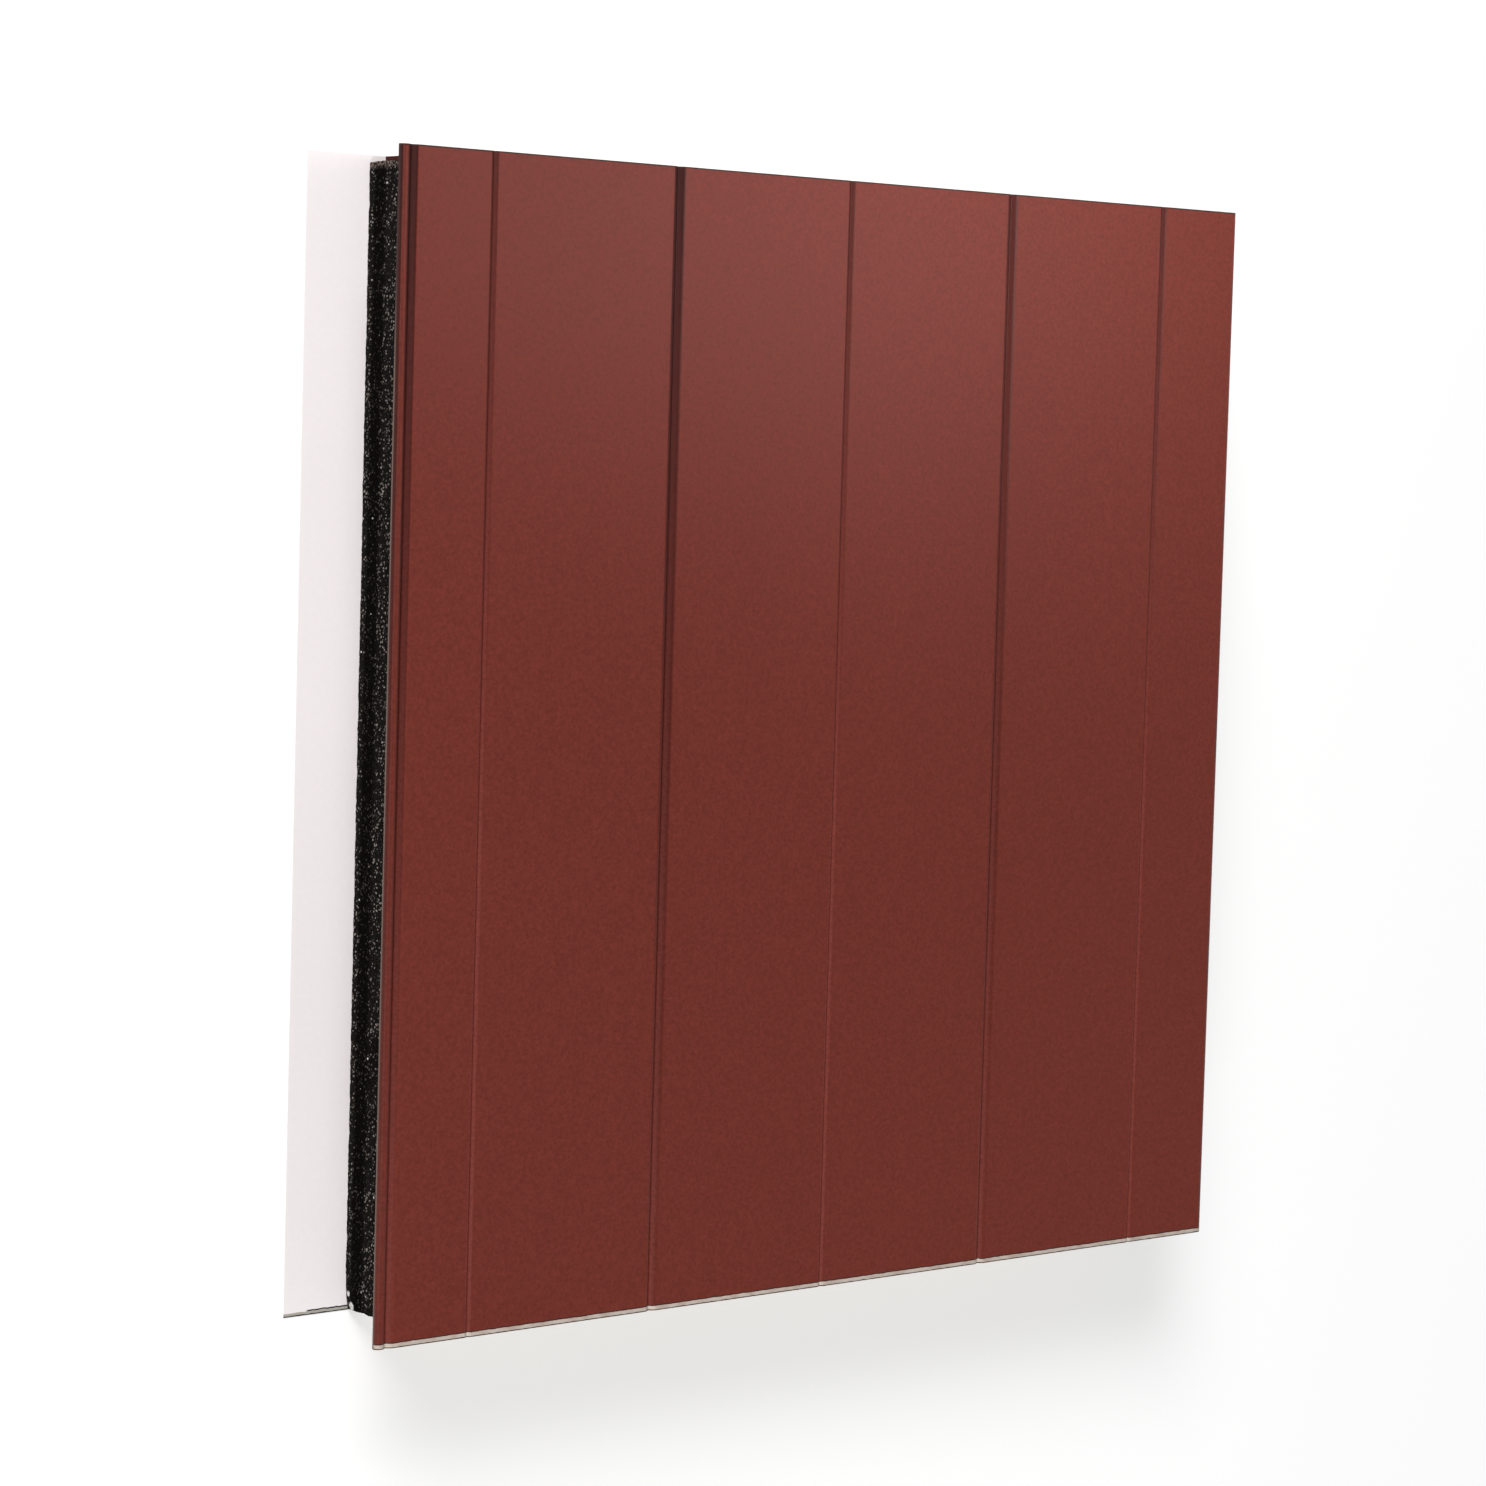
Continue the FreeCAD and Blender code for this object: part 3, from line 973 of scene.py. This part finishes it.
@dataclass
class SealStrip:
    """Soft open-cell foam strip in the joint, torn a little at its ends."""

    mesh_size: float = 1.5 * MM
    depth_steps: int = 8
    corner: float = 3.0 * MM
    relief: float = 0.9 * MM
    lump_height: float = 0.7 * MM
    cell_scale: float = 410.0
    lump_scales: Range = (62.0, 150.0)
    open_cell: float = 0.65
    free_share: float = 6.0
    free_edge: float = 2.0 * MM
    frayed: float = 9 * MM
    fray_depth: tuple[float, float, float] = (0.9 * MM, 0.9 * MM, 0.6 * MM)
    glued: float = 0.98
    foot_reach: float = 26 * MM
    foot_height: float = 30 * MM
    foot_depth: float = 2.6 * MM
    smooth_angle: float = math.radians(60)
    finish: BlackFoam = field(default_factory=BlackFoam)

    def lay_face(self, low: Vector, high: Vector) -> bpy.types.Object:
        """Lay the strip's free face as a grid of small squares, upright and facing the open joint.

        Args:
            low: The strip's lowest corner.
            high: The strip's highest corner.

        Returns:
            The face as a flat piece.
        """
        deselect_all()
        height, length = high.z - low.z, high.y - low.y
        bpy.ops.mesh.primitive_grid_add(
            x_subdivisions=round(height / self.mesh_size), y_subdivisions=round(length / self.mesh_size), size=1.0,
            location=(low.x, (low.y + high.y) / 2, (low.z + high.z) / 2), rotation=(0.0, -math.pi / 2, 0.0))
        piece = start_piece("seal_strip")
        piece.scale = (height, length, 1.0)
        settle(piece)
        return piece

    def give_depth(self, piece: bpy.types.Object, depth: float) -> None:
        """Carry the face's border back to the core in short steps, and close the back.

        Args:
            piece: The free face; not used.
            depth: How far back the strip goes.
        """
        bpy.ops.object.mode_set(mode="EDIT")
        bpy.ops.mesh.select_mode(type="EDGE")
        bpy.ops.mesh.select_all(action="DESELECT")
        bpy.ops.mesh.select_non_manifold()
        for _ in range(self.depth_steps):
            bpy.ops.mesh.extrude_region_move(TRANSFORM_OT_translate={"value": (depth / self.depth_steps, 0.0, 0.0)})
        bpy.ops.mesh.edge_face_add()
        bpy.ops.mesh.select_all(action="SELECT")
        bpy.ops.mesh.normals_make_consistent(inside=False)
        bpy.ops.object.mode_set(mode="OBJECT")

    def torn(self, place: Vector, low: Vector, high: Vector) -> Place:
        """Say where one point of the plain strip goes.

        Args:
            place: The point.
            low: The strip's lowest corner.
            high: Its highest corner.

        Returns:
            The point's place on the torn strip.
        """
        edge = min(place.z - low.z, high.z - place.z)
        end = min(place.y - low.y, high.y - place.y)
        behind = (place.x - low.x) / (high.x - low.x)
        x, y = place.x, place.y
        if edge < self.corner:
            x += (self.corner - math.sqrt(max(0.0, self.corner ** 2 - (self.corner - edge) ** 2))) * (1 - behind)
        whole = 1.0 - min(1.0, noise.voronoi(place * self.cell_scale)[0][0] / self.open_cell)
        lump = noise.noise(place * self.lump_scales[0]) + 0.5 * noise.noise(place * self.lump_scales[1])
        free = max(0.0, 1.0 - behind * self.free_share) * min(1.0, edge / self.free_edge)
        x += free * (self.relief * whole + self.lump_height * lump)
        if end < self.frayed and behind < self.glued:
            even, lumpy, cells = self.fray_depth
            pull = (1.0 - end / self.frayed) * (even + lumpy * lump + cells * whole)
            y += pull if place.y < 0 else -pull
        # The lower corner at the foot end is rounded off.
        foot = (place.y - low.y) / self.foot_reach
        height = (place.z - low.z) / self.foot_height
        if foot < 1.0 and height < 1.0:
            x += self.foot_depth * (1 - foot) ** 2 * (1 - behind) * (1 - height)
        return max(low.x, x), min(high.y, max(low.y, y)), place.z

    def shape(self, piece: bpy.types.Object, low: Vector, high: Vector) -> None:
        """Round the free edges, tear the ends and open the cells by moving the vertices.

        Args:
            piece: The closed strip.
            low: Its lowest corner.
            high: Its highest corner.
        """
        for vertex in piece.data.vertices:
            vertex.co = self.torn(vertex.co.copy(), low, high)

    def build(self) -> bpy.types.Object:
        """Model the strip in its solid's box and dress it."""
        low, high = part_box("joint_seal")
        piece = self.lay_face(low, high)
        self.give_depth(piece, high.x - low.x)
        self.shape(piece, low, high)
        bpy.ops.object.shade_smooth_by_angle(angle=self.smooth_angle)
        finish_piece(piece, self.finish.build(low, high), "joint_seal")
        return piece


@dataclass
class Core:
    """Rigid foam block between the sheets. Its solid has the right shape and only gets its finish."""

    finish: RigidFoam = field(default_factory=RigidFoam)

    def dress(self) -> None:
        """Put the foam's material on the solid."""
        low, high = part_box("insulation_core")
        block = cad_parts["insulation_core"]
        block.data.materials.clear()
        block.data.materials.append(self.finish.build(low, high))
        LOG.info("%s: dressed", block.name)


# ---------------------------------------------------------------------------------------------------------
# Studio


@dataclass(frozen=True)
class Softbox:
    """One square studio lamp, with a grid that narrows its beam where the spread is under 180 degrees."""

    name: str
    place: Place
    aim: Place
    size: float
    power: float
    spread: float = 180.0

    def build(self) -> bpy.types.Object:
        """Hang the lamp and turn it to what it lights."""
        data = bpy.data.lights.new(self.name, "AREA")
        data.shape = "SQUARE"
        data.size = self.size
        data.energy = self.power
        data.spread = math.radians(self.spread)
        lamp = bpy.data.objects.new(self.name, data)
        bpy.context.scene.collection.objects.link(lamp)
        lamp.location = self.place
        lamp.rotation_euler = (Vector(self.aim) - Vector(self.place)).to_track_quat("-Z", "Y").to_euler()
        return lamp


@dataclass
class Studio:
    """Pale floor, soft light from over the open joint's side and the head end, and the camera."""

    floor_size: float = 60.0
    floor_gap: float = 0.2 * MM
    floor_tone: float = 0.50
    floor_fill: float = 0.52
    opening_start: float = 1.0
    opening_margin: float = 1.5 * MM
    sky_level: float = 0.27
    under_level: float = 0.85
    under_rise: Range = (-0.10, -0.02)
    backdrop_rise: Range = (0.25, 0.45)
    camera_place: Place = (-2.5398, 0.2595, 2.9731)
    camera_turn: Place = (-5.3812, -40.5177, 2.1115)
    focal_length: float = 102.126
    sensor_width: float = 36.0
    far_clip: float = 200.0
    lamps: tuple[Softbox, ...] = (
        Softbox("head_left_softbox", (-4.8, 5.9, 5.7), (0.0, 0.0, 0.1), 3.8, 935.0),
        Softbox("foot_left_softbox", (-4.8, -5.9, 5.7), (0.0, 0.0, 0.1), 3.8, 385.0),
        Softbox("head_softbox", (0.66, 0.68, 1.40), (0.20, 0.86, 0.15), 0.9, 2.35, 49.0),
    )

    def open_under_panel(self, ground: bpy.types.Object) -> None:
        """Take out the floor that the panel hides, so that light reaches its underside in a view from below.

        Args:
            ground: The floor plane.
        """
        low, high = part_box("inner_facing")
        square = self.opening_start
        bpy.ops.object.mode_set(mode="EDIT")
        bpy.ops.mesh.select_all(action="SELECT")
        bpy.ops.mesh.inset(thickness=(self.floor_size - square) / 2)
        for axis in (0, 1):
            for edge, inward in ((low[axis], 1), (high[axis], -1)):
                choose_vertices(ground, lambda place: abs(place[axis]) < square and place[axis] * inward < 0)
                shift = Vector((0.0, 0.0, 0.0))
                shift[axis] = edge + inward * (self.opening_margin + square / 2)
                bpy.ops.transform.translate(value=shift)
        choose_vertices(ground, lambda place: abs(place.x) < square)
        bpy.ops.mesh.delete(type="ONLY_FACE")
        bpy.ops.object.mode_set(mode="OBJECT")

    def floor(self) -> None:
        """Lay a pale floor that looks white and keeps the panel's shadow."""
        deselect_all()
        bpy.ops.mesh.primitive_plane_add(size=self.floor_size, location=(0.0, 0.0, -self.floor_gap))
        ground = start_piece("floor")
        self.open_under_panel(ground)
        g = Graph("pale_floor")
        g.set(Base_Color=(self.floor_tone, self.floor_tone, self.floor_tone, 1.0), Roughness=1.0,
              Specular_IOR_Level=0.0, Emission_Color=(1.0, 1.0, 1.0, 1.0),
              Emission_Strength=g.times(g.seen_directly(), self.floor_fill))
        # It is clear from below, so that the panel's underside can be looked at.
        side = g.tree.nodes.new("ShaderNodeNewGeometry")
        clear = g.tree.nodes.new("ShaderNodeBsdfTransparent")
        g.choose_shader(side.outputs["Backfacing"], g.shader.outputs["BSDF"], clear.outputs[0], g.output)
        ground.data.materials.append(g.material)

    def sky(self) -> None:
        """Light the room evenly, with a white backdrop low down and a plain ceiling above it."""
        world = bpy.data.worlds.new("studio")
        world.use_nodes = True
        bpy.context.scene.world = world
        g = Nodes(world.node_tree)
        up = g.split("XYZ", g.tree.nodes.new("ShaderNodeTexCoord").outputs["Generated"])[2]
        room = g.tree.nodes.new("ShaderNodeBackground")
        g.wire(g.span(up, *self.under_rise, (self.under_level, self.sky_level), False), room.inputs["Strength"])
        backdrop = g.tree.nodes.new("ShaderNodeBackground")
        g.wire(g.span(up, *self.backdrop_rise, (1.0, self.sky_level), False), backdrop.inputs["Strength"])
        output = g.tree.nodes.new("ShaderNodeOutputWorld")
        g.choose_shader(g.seen_directly(), room.outputs[0], backdrop.outputs[0], output)

    def camera(self) -> None:
        """Set the camera up over the open joint's side, its top towards the head end."""
        data = bpy.data.cameras.new("camera")
        data.sensor_width = self.sensor_width
        data.lens = self.focal_length
        data.clip_end = self.far_clip
        camera = bpy.data.objects.new("camera", data)
        bpy.context.scene.collection.objects.link(camera)
        camera.location = self.camera_place
        camera.rotation_euler = [math.radians(turn) for turn in self.camera_turn]
        bpy.context.scene.camera = camera

    def build(self) -> None:
        """Set up the floor, the light and the camera."""
        bpy.context.scene.view_settings.view_transform = "Standard"
        self.floor()
        self.sky()
        for lamp in self.lamps:
            lamp.build()
        self.camera()
        LOG.info("studio: %d lamps", len(self.lamps))


def main() -> None:
    """Build the panel's pieces in order, then the studio."""
    logging.basicConfig(level=logging.INFO, format="%(name)s: %(message)s")
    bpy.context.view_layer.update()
    OuterSheet().build()
    InnerSheet().build()
    Core().dress()
    SealStrip().build()
    Studio().build()


if __name__ == "__main__":
    main()
